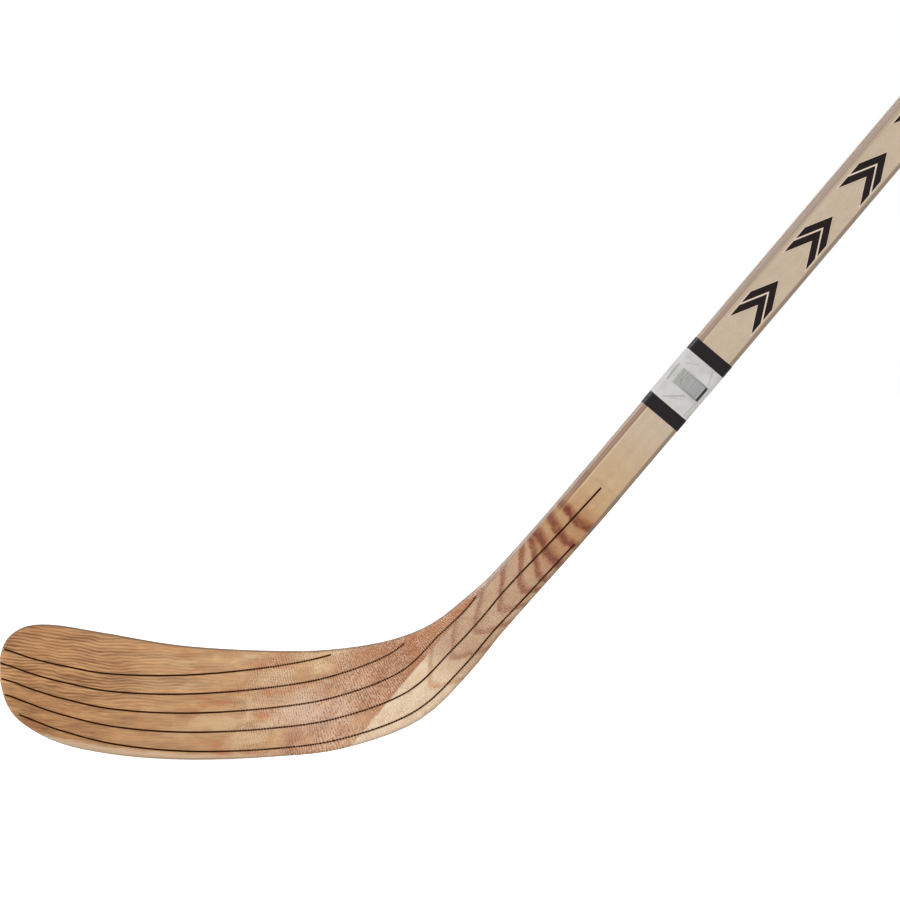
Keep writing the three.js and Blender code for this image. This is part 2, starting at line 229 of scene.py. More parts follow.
class Graph:
    """Builds a node tree: each method adds nodes and gives back the result as a Value."""

    def __init__(self, tree):
        self.tree = tree

    def add(self, kind, **settings):
        node = self.tree.nodes.new("ShaderNode" + kind)
        for name, setting in settings.items():
            setattr(node, name, setting)
        return node

    def plug(self, socket, source):
        if isinstance(source, Value):
            self.tree.links.new(source.socket, socket)
        elif isinstance(source, str):
            socket.default_value = [*linear(source), 1.0]
        else:
            socket.default_value = source

    def node(self, kind, sources=(), output=0, **settings):
        """Adds a node, fills its inputs in order and gives one of its outputs."""
        node = self.add(kind, **settings)
        for socket, source in zip(node.inputs, sources):
            self.plug(socket, source)
        return Value(self, node.outputs[output])

    def vector(self, x, y, z):
        return self.node("CombineXYZ", [x, y, z])

    def dot(self, vector, other):
        return self.node("VectorMath", [vector, other], output="Value", operation="DOT_PRODUCT")

    def noise(self, vector, detail=2.0, distortion=0.0):
        """Noise between 0 and 1 about 0.5, one cell to each unit of the vector."""
        node = self.add("TexNoise")
        self.plug(node.inputs["Vector"], vector)
        node.inputs["Scale"].default_value = 1.0
        node.inputs["Detail"].default_value = detail
        node.inputs["Distortion"].default_value = distortion
        return Value(self, node.outputs[0])

    def mix(self, share, first, second, blend="MIX"):
        """Goes from the first colour to the second."""
        node = self.add("Mix", data_type="RGBA", blend_type=blend)
        self.plug(node.inputs[0], share)
        self.plug(node.inputs[6], first)
        self.plug(node.inputs[7], second)
        return Value(self, node.outputs[2])

    def group(self, tree):
        """Adds a node group and gives its outputs by name."""
        node = self.add("Group")
        node.node_tree = tree
        return {output.name: Value(self, output) for output in node.outputs}


def new_group(name, outputs):
    """An empty node group with named outputs, and a function that fills them."""
    tree = bpy.data.node_groups.new(name, "ShaderNodeTree")
    for output, kind in outputs.items():
        tree.interface.new_socket(output, in_out="OUTPUT", socket_type="NodeSocket" + kind)
    end = tree.nodes.new("NodeGroupOutput")
    graph = Graph(tree)

    def finish(**results):
        for output, value in results.items():
            graph.plug(end.inputs[output], value)
        return tree

    return graph, finish


def place_group():
    """Where the shaded point is on the stick, in millimetres, and which way its surface faces."""
    names = ("x", "y", "z", "s", "q", "along", "upness", "rim", "end")
    graph, finish = new_group("place on the stick", {name: "Float" for name in names})
    here = graph.node("TexCoord", output="Object")
    moved = graph.node("VectorMath", [here, HEEL], operation="SUBTRACT")
    in_mm = graph.node("VectorMath", [moved, (1 / MM,) * 3], operation="MULTIPLY")
    x, y, z = (graph.node("SeparateXYZ", [in_mm], output=k) for k in range(3))
    # The crossing yarns of the cloth stand square to the tracers, which turn about one point.
    right = x - YARN_BEND_CENTRE[0]
    down = YARN_BEND_CENTRE[1] - z
    turn = graph.node("Math", [right, down], operation="ARCTAN2").highest(0.0).lowest(LIE_ANGLE)
    cosine = graph.node("Math", [turn], operation="COSINE")
    sine = graph.node("Math", [turn], operation="SINE")
    normal = graph.node("NewGeometry", output="Normal")
    return finish(
        x=x,
        y=y,
        z=z,
        s=graph.dot(in_mm, ALONG),
        q=graph.dot(in_mm, ACROSS),
        along=turn * YARN_BEND_RADIUS + right * cosine - down * sine,
        upness=graph.dot(normal, graph.vector(sine * -1.0, 0.0, cosine)),
        rim=1.0 - graph.dot(normal, (0.0, 1.0, 0.0)).size(),
        end=graph.dot(normal, ALONG).size().rise(0.93, 0.98),
    )


PLACE = place_group()


# ---------------------------------------------------------------------------------------------
# Wood
# ---------------------------------------------------------------------------------------------


def ash_colour(graph, at):
    """Golden ash of the blade. Its grain sags from the toe, and its rings are clearest there."""
    beyond = (at["x"] + 100.0).lowest(0.0)
    lie = at["z"] - beyond * beyond * 0.0005
    waves = graph.noise(graph.vector(at["x"] / 45, at["y"] / 10, lie / 22), detail=2.0) - 0.5
    rings = ((lie + waves * 9.0) * (math.tau / 2.0)).sine()
    hairs = graph.noise(graph.vector(at["x"] / 12, at["y"] / 3, (lie + waves * 5.0) / 0.7), detail=3.0)
    streaks = graph.noise(graph.vector(at["x"] / 40, at["y"] / 12, lie / 5), detail=3.0)
    near_toe = at["x"].rise(-90, -180) * (lie + at["x"] * 0.08).rise(8, 30)
    tone = (streaks - 0.5) * 1.5 + rings * (near_toe * 0.2 + 0.06) + (hairs - 0.5) * 1.15 + 0.5
    wood = graph.mix(tone, "#7a4b27", "#d29e69")
    wood = graph.mix(at["x"].rise(-215, -130) * 0.28, wood, "#dfb685")
    slanted = graph.vector((at["x"] + at["z"]) / 26, at["y"] / 20, (at["z"] - at["x"] * 0.3) / 11)
    patches = graph.noise(slanted, detail=3.0, distortion=0.4)
    near_heel = at["x"].rise(-180, -95)
    wood = graph.mix(patches.rise(0.5, 0.36) * near_heel * 0.64, wood, "#d9b98d")
    return graph.mix(patches.rise(0.52, 0.66) * (near_heel * 0.5 + 0.3), wood, "#b57042")


def heel_colour(graph, at):
    """Warm brown of the heel block, deepest along the inner curve."""
    slanted = graph.vector((at["x"] + at["z"]) / 24, at["y"] / 20, (at["z"] - at["x"]) / 14)
    clouds = graph.noise(slanted, detail=3.0)
    flecks = graph.noise(graph.vector(at["s"] / 3.5, at["y"] / 1.0, at["q"] / 1.0), detail=3.0)
    tone = clouds.rise(0.3, 0.7) * 0.9 + (flecks - 0.5) * 1.1
    wood = graph.mix(tone, "#9c6138", "#cc9a70")
    wood = graph.mix(at["s"].rise(5, 50) * 0.65, wood, "#96572b")
    return graph.mix(at["s"].rise(40, 70) * 0.7, wood, "#ab652d")


def shaft_colour(graph, at):
    """Pale birch of the shaft, creamier at the heel and greyer up the shaft."""
    streaks = graph.noise(graph.vector(at["s"] / 60, at["y"] / 14, at["q"] / 3.2), detail=3.0)
    hairs = graph.noise(graph.vector(at["s"] / 9, at["y"] / 0.55, at["q"] / 0.55), detail=2.0)
    clouds = graph.noise(graph.vector(at["s"] / 9, at["y"] / 14, at["q"] / 9), detail=3.0)
    flecks = graph.noise(graph.vector(at["s"] / 2.4, at["y"] / 1.1, at["q"] / 1.1), detail=1.0)
    blotches = (clouds - 0.5) * 1.2
    tone = (streaks - 0.5) * 0.5 + (hairs - 0.5) * 0.6 + (flecks - 0.5) * 0.5 + 0.5
    golden = graph.mix(tone + blotches, "#a07850", "#c9a47a")
    buff = graph.mix(tone + blotches * 0.5, "#ab8a62", "#c4a681")
    greyish = graph.mix(tone + blotches * 0.4, "#aa9781", "#c4b29b")
    figured = graph.mix(tone + blotches, "#9f7657", "#c6a683")
    cream = graph.mix(tone + blotches, "#cfae8c", "#ead8bb")
    wood = graph.mix(at["s"].rise(215, 275), buff, greyish)
    wood = graph.mix(at["s"].rise(218, 196), wood, golden)
    wood = graph.mix(at["s"].rise(180, 145), wood, figured)
    return graph.mix(at["s"].rise(80, 50), wood, cream)


def dark_arcs(graph, at):
    """How strongly the planed plies show, sharper below each arc than above it."""
    wobble = graph.noise(graph.vector(at["s"] / 12, at["y"] / 12, at["q"] / 5), detail=2.0) - 0.5
    ragged = graph.noise(graph.vector(at["s"] / 1.8, at["y"] / 4, at["q"] / 1.8), detail=2.0) - 0.5
    faded = graph.noise(graph.vector(at["s"] / 6, at["y"] / 8, at["q"] / 4), detail=1.0)
    drift = wobble * 4.0 + ragged * 2.6
    shade = None
    for lowest, middle, climb, width, strength in PLY_ARCS:
        across = at["q"] - middle
        reach = (across * across + ARC_ROUNDING**2).power(0.5) - ARC_ROUNDING
        over = at["s"] - lowest - reach * climb + drift
        arc = over.rise(-0.36 * width, 0.0) * over.rise(0.7 * width, 0.12 * width)
        shade = arc * strength if shade is None else shade.highest(arc * strength)
    return shade * (faded.rise(0.2, 0.6) * 0.35 + 0.65)


def blade_edges(graph, at, wood):
    """Painted shade round the blade's rounded edges, and a paler band along its sole."""
    toeward = (at["x"] + 110.0).lowest(0.0)
    above_sole = at["z"] - toeward * toeward * 0.001
    band_edge_noise = graph.noise(graph.vector(at["x"] / 9, at["y"] / 4, at["z"] / 2), detail=3.0)
    # A paler band along the sole, its upper edge broken up by noise.
    pale_band_and_rough_patches = (above_sole + (band_edge_noise - 0.5) * 3.0).rise(4.2, 1.8) * at["x"].rise(-15, -45)
    wood = graph.mix(pale_band_and_rough_patches * 0.6, wood, "#dcc4a6")
    # Painted shade over the blade's rounded edges, strongest along its top edge.
    painted_edge_shade = at["rim"].rise(0.03, 0.25) * (0.35 + at["upness"].rise(-0.1, 0.4) * 0.45)
    return graph.mix(painted_edge_shade, wood, "#6d5a4b")


def shaft_edges(graph, at, wood):
    """Strips along both edges of the shaft's faces, where its outer laminations come to the surface;
    painted shade along the lower edge, and a grey painted reflection on the upper corner and the narrow
    sides.
    """
    q = at["q"]
    above_heel = at["s"].rise(165, 215)
    above_wrap = at["s"].rise(300, 390)
    streaks = graph.noise(graph.vector(at["s"] / 45, at["y"] / 0.9, q / 0.9), detail=2.0)
    strip = graph.mix(streaks, "#846550", "#a68670")
    strip = graph.mix(above_wrap, strip, graph.mix(streaks, "#8a7868", "#a8978a"))
    beside_strip = graph.mix(above_wrap, "#e6cfb4", "#7e6850")
    edged = graph.mix(q.bump_at(PALE_LINE_Q, 1.2) * 0.45, wood, beside_strip)
    edged = graph.mix(q.rise(*STRIP_START), edged, strip)
    first_line, second_line = (q.bump_at(*line) for line in DARK_LINES)
    lines = first_line.highest(second_line) * (1.0 - above_wrap * 0.5)
    edged = graph.mix(lines * 0.6, edged, "#5f4235")
    wood = graph.mix(above_heel, wood, edged)
    # A grey tint on the upper corner: a painted reflection of the white surroundings.
    wood = graph.mix(q.rise(*UPPER_CORNER) * 0.8, wood, graph.mix(streaks, "#75685e", "#968679"))
    wood = graph.mix(q.bump_at(*TOP_LINE) * above_wrap * 0.7, wood, "#4f463e")
    # Painted shade along the lower edge, over a darker lamination there.
    wood = graph.mix(q.rise(*LOWER_EDGE) * (above_heel * 0.4 + 0.5), wood, "#7c6a5a")
    # Narrow sides: tinted grey as a painted reflection of the white surroundings; glue lines between
    # the plies run along them at fixed depths.
    side = at["upness"].size().rise(0.72, 0.92)
    wood = graph.mix(side * 0.8, wood, graph.mix(streaks, "#9d8b7d", "#bba999"))
    inner, middle, outer = (at["y"].size().bump_at(depth, GLUE_LINE_WIDTH) for depth in GLUE_DEPTHS)
    glue = inner.highest(middle).highest(outer)
    return graph.mix(glue * side * 0.6, wood, "#6e4c3b")


def end_grain(graph, at, wood):
    """Sawn end of the butt: growth rings cut across, with dark pores."""
    bend = graph.noise(graph.vector(at["q"] / 16, at["y"] / 16, 0.0), detail=1.0)
    rings = ((at["y"] + bend * 14.0) * (math.tau / 1.5)).sine() * 0.5 + 0.5
    pores = graph.noise(graph.vector(at["q"] / 0.35, at["y"] / 0.35, 0.0), detail=1.0)
    cut = graph.mix(rings * 0.35 + 0.15, wood, "#8d6b4c")
    return graph.mix(pores.rise(0.55, 0.7) * 0.5, cut, "#6b4c35")


def wood_group():
    """The colour of the bare or varnished wood anywhere on the stick, and the height of its grain."""
    graph, finish = new_group("wood", {"colour": "Color", "grain": "Float"})
    at = graph.group(PLACE)
    drift = (graph.noise(graph.vector(at["x"] / 14, at["y"] / 14, at["z"] / 5), detail=2.0) - 0.5) * 7.0
    shaft = shaft_colour(graph, at)
    arcs = dark_arcs(graph, at) * at["s"].rise(*ARCS_END_S)
    halo = arcs.rise(0.0, 0.4) * at["s"].rise(120, 160)
    between = at["s"].rise(122, 165) * at["s"].rise(203, 192) * (0.26 + at["q"].rise(20, 10) * 0.28)
    shaft = graph.mix(between, shaft, "#a06b40")
    shaft = graph.mix(halo * 0.6, shaft, "#b3783f")
    rust = graph.mix(at["s"].rise(52, 72), "#b56f3c", "#8a4628")
    rust = graph.mix(at["s"].rise(100, 165), rust, "#6f2a06")
    shaft = graph.mix(arcs, shaft, rust)
    heel = heel_colour(graph, at)
    ash = ash_colour(graph, at)
    seam_drift = drift * at["z"].rise(70, 20)
    wood = graph.mix((at["q"] + seam_drift).rise(BLADE_SEAM_Q - 1, BLADE_SEAM_Q + 16), heel, ash)
    wood = graph.mix((at["q"] + drift * 0.2).rise(HEEL_SEAM_Q + 0.4, HEEL_SEAM_Q - 0.6), wood, shaft)
    above_block = at["s"].rise(HEEL_BLOCK_END_S - 2, HEEL_BLOCK_END_S + 2)
    wood = graph.mix(above_block, wood, shaft)
    grain = graph.noise(graph.vector(at["s"] / 8, at["y"] / 0.5, at["q"] / 0.5), detail=2.0)
    up_the_shaft = at["s"].rise(102, 122)
    edged = graph.mix(up_the_shaft, blade_edges(graph, at, wood), shaft_edges(graph, at, wood))
    return finish(colour=graph.mix(at["end"], edged, end_grain(graph, at, wood)), grain=grain)


WOOD = wood_group()


def weave_group():
    """Height of the glass cloth's plain weave, its pale and dark flecks and where it shows most."""
    names = ("height", "pale", "dark", "shown", "bare")
    graph, finish = new_group("weave", {name: "Float" for name in names})
    at = graph.group(PLACE)
    wander = graph.noise(graph.vector(at["x"] / 5, at["y"] / 9, at["z"] / 5), detail=2.0) - 0.5
    ribs = at["along"] + (at["q"] + at["x"] * 0.3) * 0.3 + wander * 2.2
    crossing = (ribs * (math.tau / WEAVE_PITCH)).sine() * 0.5 + 0.5
    tufts = graph.noise(graph.vector(at["x"] / 0.75, at["y"] / 2, at["z"] / 0.95), detail=1.0)
    others = graph.noise(graph.vector(at["z"] / 0.95, at["y"] / 2, at["x"] / 0.75), detail=1.0)
    height = crossing * 0.5 + tufts * 0.5
    patches = graph.noise(graph.vector(at["x"] / 18, at["y"] / 20, at["z"] / 13), detail=3.0)
    over_heel = at["x"].rise(-130, -70) * at["s"].rise(190, 120) * (0.6 + at["q"].rise(27, 32) * 0.4)
    bare = at["x"].bump_at(-58, 100) * at["z"].bump_at(30, 64)
    return finish(
        height=height,
        pale=(crossing * 0.2 + tufts + bare * 0.14).rise(0.46, 0.8),
        dark=(others - crossing * 0.14).rise(0.34, 0.58),
        shown=over_heel * (patches.rise(0.36, 0.6) * 0.75 + 0.25).highest(bare * 0.9),
        bare=bare,
    )


WEAVE = weave_group()


# ---------------------------------------------------------------------------------------------
# Materials
# ---------------------------------------------------------------------------------------------


def new_material(name):
    """A material with a principled shader, its graph and a function that fills the shader."""
    material = bpy.data.materials.new(name)
    material.use_nodes = True
    graph = Graph(material.node_tree)
    shader = material.node_tree.nodes["Principled BSDF"]

    def shade(**inputs):
        for label, source in inputs.items():
            graph.plug(shader.inputs[label.replace("_", " ")], source)
        return material

    return graph, shade


def bumped(graph, height, distance):
    """The surface's normal over a height that counts for a distance in millimetres."""
    node = graph.add("Bump")
    node.inputs["Strength"].default_value = 1.0
    node.inputs["Distance"].default_value = distance * MM
    graph.plug(node.inputs["Height"], height)
    return Value(graph, node.outputs[0])


def bare_wood(name, tint, share, coat):
    """Varnished wood: the shared figure with a little of the species' own colour over it."""
    graph, shade = new_material(name)
    at = graph.group(PLACE)
    wood = graph.group(WOOD)
    pores = graph.noise(graph.vector(at["s"] / 14, at["y"] / 0.4, at["q"] / 0.4), detail=3.0)
    pale_band_and_rough_patches = graph.noise(graph.vector(at["s"] / 30, at["y"] / 30, at["q"] / 30), detail=3.0)
    return shade(
        Base_Color=graph.mix(share, wood["colour"], tint),
        Roughness=0.36 + pale_band_and_rough_patches * 0.16 + (pores - 0.5) * 0.12,
        Specular_IOR_Level=0.35,
        Coat_Weight=coat,
        Coat_Roughness=0.28,
        Normal=bumped(graph, wood["grain"] * 0.6 + pores * 0.4, 0.05),
    )


def glass_cloth():
    """Resin-wet glass cloth: the wood's colour with pale yarns and woven ribs over the heel."""
    graph, shade = new_material("glass_cloth")
    wood = graph.group(WOOD)
    weave = graph.group(WEAVE)
    darker = graph.mix(weave["dark"] * weave["shown"] * 0.55, wood["colour"], "#a9785a", "MULTIPLY")
    yarns = graph.mix(weave["bare"], "#e9ceb3", "#efdccb")
    colour = graph.mix(weave["pale"] * weave["shown"] * 0.5, darker, yarns)
    return shade(
        Base_Color=colour,
        Roughness=0.42 - weave["shown"] * 0.06,
        Specular_IOR_Level=0.35,
        Coat_Weight=0.25,
        Coat_Roughness=0.2,
        Normal=bumped(graph, weave["height"] * (weave["shown"] * 0.9 + 0.1), 0.07),
    )


def tracer_yarn():
    """Black yarn in the cloth, crossed at each pitch by a thread of the weave where that shows."""
    graph, shade = new_material("tracer_yarn")
    at = graph.group(PLACE)
    weave = graph.group(WEAVE)
    fuzz = graph.noise(graph.vector(at["x"] / 0.7, at["y"] / 0.7, at["z"] / 0.7), detail=2.0)
    crossed = (weave["height"] + (fuzz - 0.5) * 0.3).rise(0.5, 0.72) * weave["shown"]
    black = graph.mix(fuzz, "#1c0a02", "#3d1c08")
    return shade(
        Base_Color=graph.mix(crossed * 0.7, black, "#b08a6c"),
        Roughness=0.6 + (fuzz - 0.5) * 0.2,
        Specular_IOR_Level=0.0,
        Normal=bumped(graph, fuzz, 0.05),
    )


def black_tape():
    """Glossy black tape with a faint stretch texture."""
    graph, shade = new_material("black_band")
    at = graph.group(PLACE)
    grain = graph.noise(graph.vector(at["s"] / 0.8, at["y"] / 5, at["q"] / 5), detail=3.0)
    clouds = graph.noise(graph.vector(at["s"] / 6, at["y"] / 6, at["q"] / 6), detail=2.0)
    return shade(
        Base_Color=graph.mix(clouds, "#0a0506", "#1a1114"),
        Roughness=0.2 + grain * 0.1,
        Specular_IOR_Level=0.22,
        Normal=bumped(graph, grain, 0.03),
    )


def painted_crease_shade(graph, at):
    """Painted shade: grey lines along the creases of the wrap's front, standing in for the shade in
    their folds.
    """
    crease_shading = None
    for (start_s, start_q), (end_s, end_q), width, height in CREASES:
        run_s = end_s - start_s
        run_q = end_q - start_q
        from_s = at["s"] - start_s
        from_q = at["q"] - start_q
        share = (from_s * run_s + from_q * run_q) / (run_s**2 + run_q**2)
        share = share.highest(0.0).lowest(1.0)
        away_s = from_s - share * run_s
        away_q = from_q - share * run_q
        away = (away_s * away_s + away_q * away_q).power(0.5)
        line = away.rise(width * 0.75, 0.0) * (height / CREASE_HIGH)
        crease_shading = line if crease_shading is None else crease_shading.highest(line)
    return crease_shading * at["y"].rise(-8, -9.5)


def white_film():
    """White plastic wrap, slightly yellowed and smudged, with soft ripples, painted shade along its
    creases and painted shade darkening its upper corner.
    """
    graph, shade = new_material("white_wrap")
    at = graph.group(PLACE)
    smudge = graph.noise(graph.vector(at["s"] / 9, at["y"] / 9, at["q"] / 14), detail=3.0)
    ripple = graph.noise(graph.vector(at["s"] / 14, at["y"] / 8, at["q"] / 5), detail=2.0)
    film = graph.mix(smudge.rise(0.35, 0.75), "#c6c5c1", "#b6b3af")
    # Painted shade: the film darkens towards its upper corner, which the key light leaves too bright.
    film = graph.mix(at["q"].rise(26.5, 28.5) * 0.4, film, "#9d9da1")
    return shade(
        # Painted shade along the creases, in grey.
        Base_Color=graph.mix(painted_crease_shade(graph, at) * 0.6, film, "#7f7e7b"),
        Roughness=0.35 + smudge * 0.2,
        Specular_IOR_Level=0.3,
        Normal=bumped(graph, ripple, 0.5),
    )


def grey_label():
    """Grey sticker with unreadable stripes and one black bar along the lower side."""
    graph, shade = new_material("grey_label")
    at = graph.group(PLACE)
    stripes = graph.noise(graph.vector(at["s"] / 30, 0.0, at["q"] / 0.55), detail=1.0).rise(0.42, 0.6)
    from_start, from_end = (at["s"].rise(*fade) for fade in LABEL_PRINT_S)
    printed = at["q"].rise(15.5, 13.5) * from_start * from_end
    dashes = graph.noise(graph.vector(at["s"] / 4.5, 0.0, at["q"] / 0.9), detail=1.0).rise(0.48, 0.62)
    ground = graph.mix(at["q"].rise(9, 21), "#898989", "#a3a39e")
    faded = graph.mix(stripes * printed * 0.4, ground, "#c9cac8")
    faded = graph.mix(dashes * at["q"].rise(16, 17) * 0.45, faded, "#747573")
    bar_start, bar_end = (at["s"].rise(*fade) for fade in LABEL_BAR_S)
    bar = at["q"].rise(*LABEL_BAR_TOP_Q) * bar_start * bar_end
    return shade(
        Base_Color=graph.mix(bar, faded, "#2a2626"),
        Roughness=0.45 + stripes * 0.1,
        Specular_IOR_Level=0.3,
        Normal=bumped(graph, stripes, 0.02),
    )


def printing(name, dark, light, roughness):
    """Screen-printed ink with tiny voids where the wood's grain shows through."""
    graph, shade = new_material(name)
    at = graph.group(PLACE)
    mottle = graph.noise(graph.vector(at["s"] / 5, at["y"], at["q"] / 5), detail=3.0)
    grain = graph.noise(graph.vector(at["s"] / 4, at["y"], at["q"] / 0.35), detail=2.0)
    return shade(
        Base_Color=graph.mix(mottle * 0.7 + grain.rise(0.62, 0.85) * 0.3, dark, light),
        Roughness=roughness + (grain - 0.5) * 0.2,
        Specular_IOR_Level=0.12,
        Normal=bumped(graph, grain, 0.02),
    )


MATERIALS = {
    "ash_blade": bare_wood("ash_blade", "#b98658", 0.12, 0.25),
    "heel_wood": bare_wood("heel_wood", "#b07a52", 0.12, 0.25),
    "aspen_ply": bare_wood("aspen_ply", "#d2b18c", 0.12, 0.2),
    "core_ply": bare_wood("core_ply", "#b98d68", 0.25, 0.2),
    "birch_veneer": bare_wood("birch_veneer", "#cdb193", 0.10, 0.3),
    "glass_cloth": glass_cloth(),
    "tracer_yarn": tracer_yarn(),
    "black_band": black_tape(),
    "white_wrap": white_film(),
    "grey_label": grey_label(),
    "mark_ground": printing("mark_ground", "#cdb7a6", "#e2d0c0", 0.5),
    "mark_ink": printing("mark_ink", "#130c0c", "#2a1e1c", 0.45),
}


# ---------------------------------------------------------------------------------------------
# Pieces
# ---------------------------------------------------------------------------------------------


def dress(piece, look):
    """Gives a piece its material."""
    piece.data.materials.clear()
    piece.data.materials.append(MATERIALS[look])


def new_piece(name, points, faces, look):
    """A smooth-shaded mesh that rides on the stick's one body."""
    mesh = bpy.data.meshes.new(name)
    mesh.from_pydata([tuple(p) for p in points], [], faces)
    mesh.shade_smooth()
    mesh.set_sharp_from_angle(angle=math.radians(40))
    piece = bpy.data.objects.new(name, mesh)
    bpy.context.scene.collection.objects.link(piece)
    dress(piece, look)
    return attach(piece, "root")


def smooth_copy(node, look):
    """A CAD node's own shape with its loose facets welded and its rounded corners shaded smooth."""
    mesh = frame["nodes"][node].data
    work = bmesh.new()
    work.from_mesh(mesh)
    bmesh.ops.remove_doubles(work, verts=work.verts, dist=2e-6)
    bmesh.ops.dissolve_degenerate(work, edges=work.edges, dist=1e-6)
    points = [v.co.copy() for v in work.verts]
    faces = [[v.index for v in f.verts] for f in work.faces]
    work.free()
    piece = new_piece(node + "_finish", points, faces, look)
    weighted = piece.modifiers.new("even shading", "WEIGHTED_NORMAL")
    weighted.keep_sharp = True
    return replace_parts(piece, node)


def ring_faces(rings, around, closed_ends=False):
    """Quads between consecutive rings of points, each closed on itself."""
    faces = []
    for ring in range(rings - 1):
        for k in range(around):
            after = (k + 1) % around
            low, high = ring * around, (ring + 1) * around
            faces.append((low + k, low + after, high + after, high + k))
    if closed_ends:
        faces.append(tuple(reversed(range(around))))
        faces.append(tuple(range((rings - 1) * around, rings * around)))
    return faces


def smooth_line(points, step):
    """Points at an even spacing along a smooth curve through the given ones."""
    points = np.asarray(points)
    ends = 2 * points[[0, -1]] - points[[1, -2]]
    padded = np.vstack([ends[0], points, ends[1]])
    before, start, end, after = padded[:-3], padded[1:-2], padded[2:-1], padded[3:]
    fine = []
    for t in np.linspace(0, 1, 12, endpoint=False):
        curve = 2 * start + (end - before) * t + (2 * before - 5 * start + 4 * end - after) * t**2
        fine.append((curve + (3 * start - before - 3 * end + after) * t**3) / 2)
    fine = np.stack(fine, axis=1).reshape(-1, points.shape[1])
    fine = np.vstack([fine, points[-1]])
    length = np.concatenate([[0], np.cumsum(np.linalg.norm(np.diff(fine[:, :3], axis=0), axis=1))])
    places = np.linspace(0, length[-1], max(2, round(length[-1] / step)))
    return np.stack([np.interp(places, length, fine[:, k]) for k in range(fine.shape[1])], axis=1)


def yarn_sections(node):
    """Middle, half width and thickness vectors of each section of a CAD yarn, toe first."""
    corners = np.unique(np.round([v.co for v in frame["nodes"][node].data.vertices], 7), axis=0)
    sections = []
    for group in corners.reshape(-1, 4, 3):
        front_first = group[np.argsort(group[:, 1])]
        outward_first = front_first if "front" in node else front_first[::-1]
        outer = outward_first[:2]
        inner = outward_first[2:]
        outer = outer[np.argsort(outer[:, 2])]
        inner = inner[np.argsort(inner[:, 2])]
        half_width = (outer[1] - outer[0]) / 2
        sections.append(np.concatenate([inner.mean(0), half_width, outer.mean(0) - inner.mean(0)]))
    return np.array(sections)


def tracer(node):
    """A tracer yarn as a domed ribbon that swells between the threads that cross over it."""
    line = smooth_line(yarn_sections(node), YARN_STEP * MM)
    profile = [(math.cos(a), math.sin(a)) for a in np.linspace(0, math.pi, 7)]
    profile = [(1.0, -YARN_SINK), *profile, (-1.0, -YARN_SINK)]
    points = []
    for k, section in enumerate(line):
        inner, half_width, thickness = section[:3], section[3:6], section[6:]
        swell = 0.5 + 0.5 * math.sin(math.tau * k * YARN_STEP / WEAVE_PITCH)
        depth = np.linalg.norm(thickness)
        for across, up in profile:
            if up < 0:
                lift = thickness / depth * (up * MM)
            else:
                lift = thickness * up * (YARN_DOME[0] + YARN_DOME[1] * swell)
            spread = YARN_SPREAD[0] + YARN_SPREAD[1] * swell
            points.append(inner + half_width * across * spread + lift)
    faces = ring_faces(len(line), len(profile), closed_ends=True)
    piece = new_piece(node + "_twist", points, faces, "tracer_yarn")
    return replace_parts(piece, node)


def rounded_outline(half_width, half_thickness, radius, step):
    """Points and outward directions round a rectangle with rounded corners."""
    outline = []
    for turn in range(4):
        long_side = turn % 2 == 0
        reach = half_thickness if long_side else half_width
        run = (half_width if long_side else half_thickness) - radius
        angle = math.radians(90 * turn)
        out = np.array([math.sin(angle), -math.cos(angle)])
        side = np.array([-out[1], out[0]])
        for t in np.linspace(-run, run, max(2, round(2 * run / step)), endpoint=False):
            outline.append((out * reach + side * t, out))
        for a in np.linspace(0, math.pi / 2, 6, endpoint=False):
            facing = out * math.cos(a) + side * math.sin(a)
            outline.append((out * (reach - radius) + side * run + facing * radius, facing))
    return outline


def crease_height(s, q):
    """How far the wrap stands out at a point of its front face."""
    height = 0.0
    for start, end, width, top in CREASES:
        run = np.subtract(end, start)
        share = np.clip(np.dot(np.subtract((s, q), start), run) / run.dot(run), 0, 1)
        away = np.linalg.norm(np.subtract((s, q), start + share * run))
        height = max(height, top * math.exp(-((away / (width / 2)) ** 2)))
    return height


def sleeve(node, look):
    """A wrap of film or tape round the shaft, thinner at both ends and double over its seam."""
    start, end = SLEEVE_SPANS[node]
    half_width = SHAFT_WIDTH / 2
    half_thickness = SHAFT_THICKNESS / 2
    outline = rounded_outline(half_width, half_thickness, CORNER_RADIUS, SLEEVE_STEP)
    rings = max(3, round((end - start) / SLEEVE_STEP))
    points = []
    for s in np.linspace(start, end, rings):
        rim = min(s - start, end - s)
        for (y, across), facing in ((point[::-1], out[::-1]) for point, out in outline):
            q = across + half_width
            full = RIM_SHARE + (1 - RIM_SHARE) * min(1.0, rim / RIM_WIDTH)
            lift = SLEEVE_GAP + SLEEVE_THICKNESS * full
            on_seam = y > 0 and SEAM_SPAN[0] < q < SEAM_SPAN[1]
            if not on_seam:
                lift -= SEAM_STEP * max(0.0, y - half_thickness + 1.0)
            if look == "white_wrap" and y < CREASE_EDGE - half_thickness:
                lift += crease_height(s, q)
            points.append(on_shaft(s, q + facing[1] * lift, y + facing[0] * lift))
    around = len(outline)
    faces = ring_faces(rings, around)
    base = rings * around
    for s in (start, end):
        for point, out in outline:
            across, y = point + out * SLEEVE_INSIDE
            points.append(on_shaft(s, across + half_width, y))
    for k in range(around):
        after = (k + 1) % around
        faces.append((k, base + k, base + after, after))
        last = (rings - 1) * around
        faces.append((last + after, base + around + after, base + around + k, last + k))
    piece = new_piece(node + "_film", points, faces, look)
    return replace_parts(piece, node)


def chevron_bar(tail, nose_reach, stroke, half):
    """Outline of one bar of a mark that points up the shaft, in s and q about the mark's middle."""
    return [
        (tail, -half),
        (tail + stroke, -half),
        (tail + stroke + nose_reach, 0.0),
        (tail + stroke, half),
        (tail, half),
        (tail + nose_reach, 0.0),
    ]


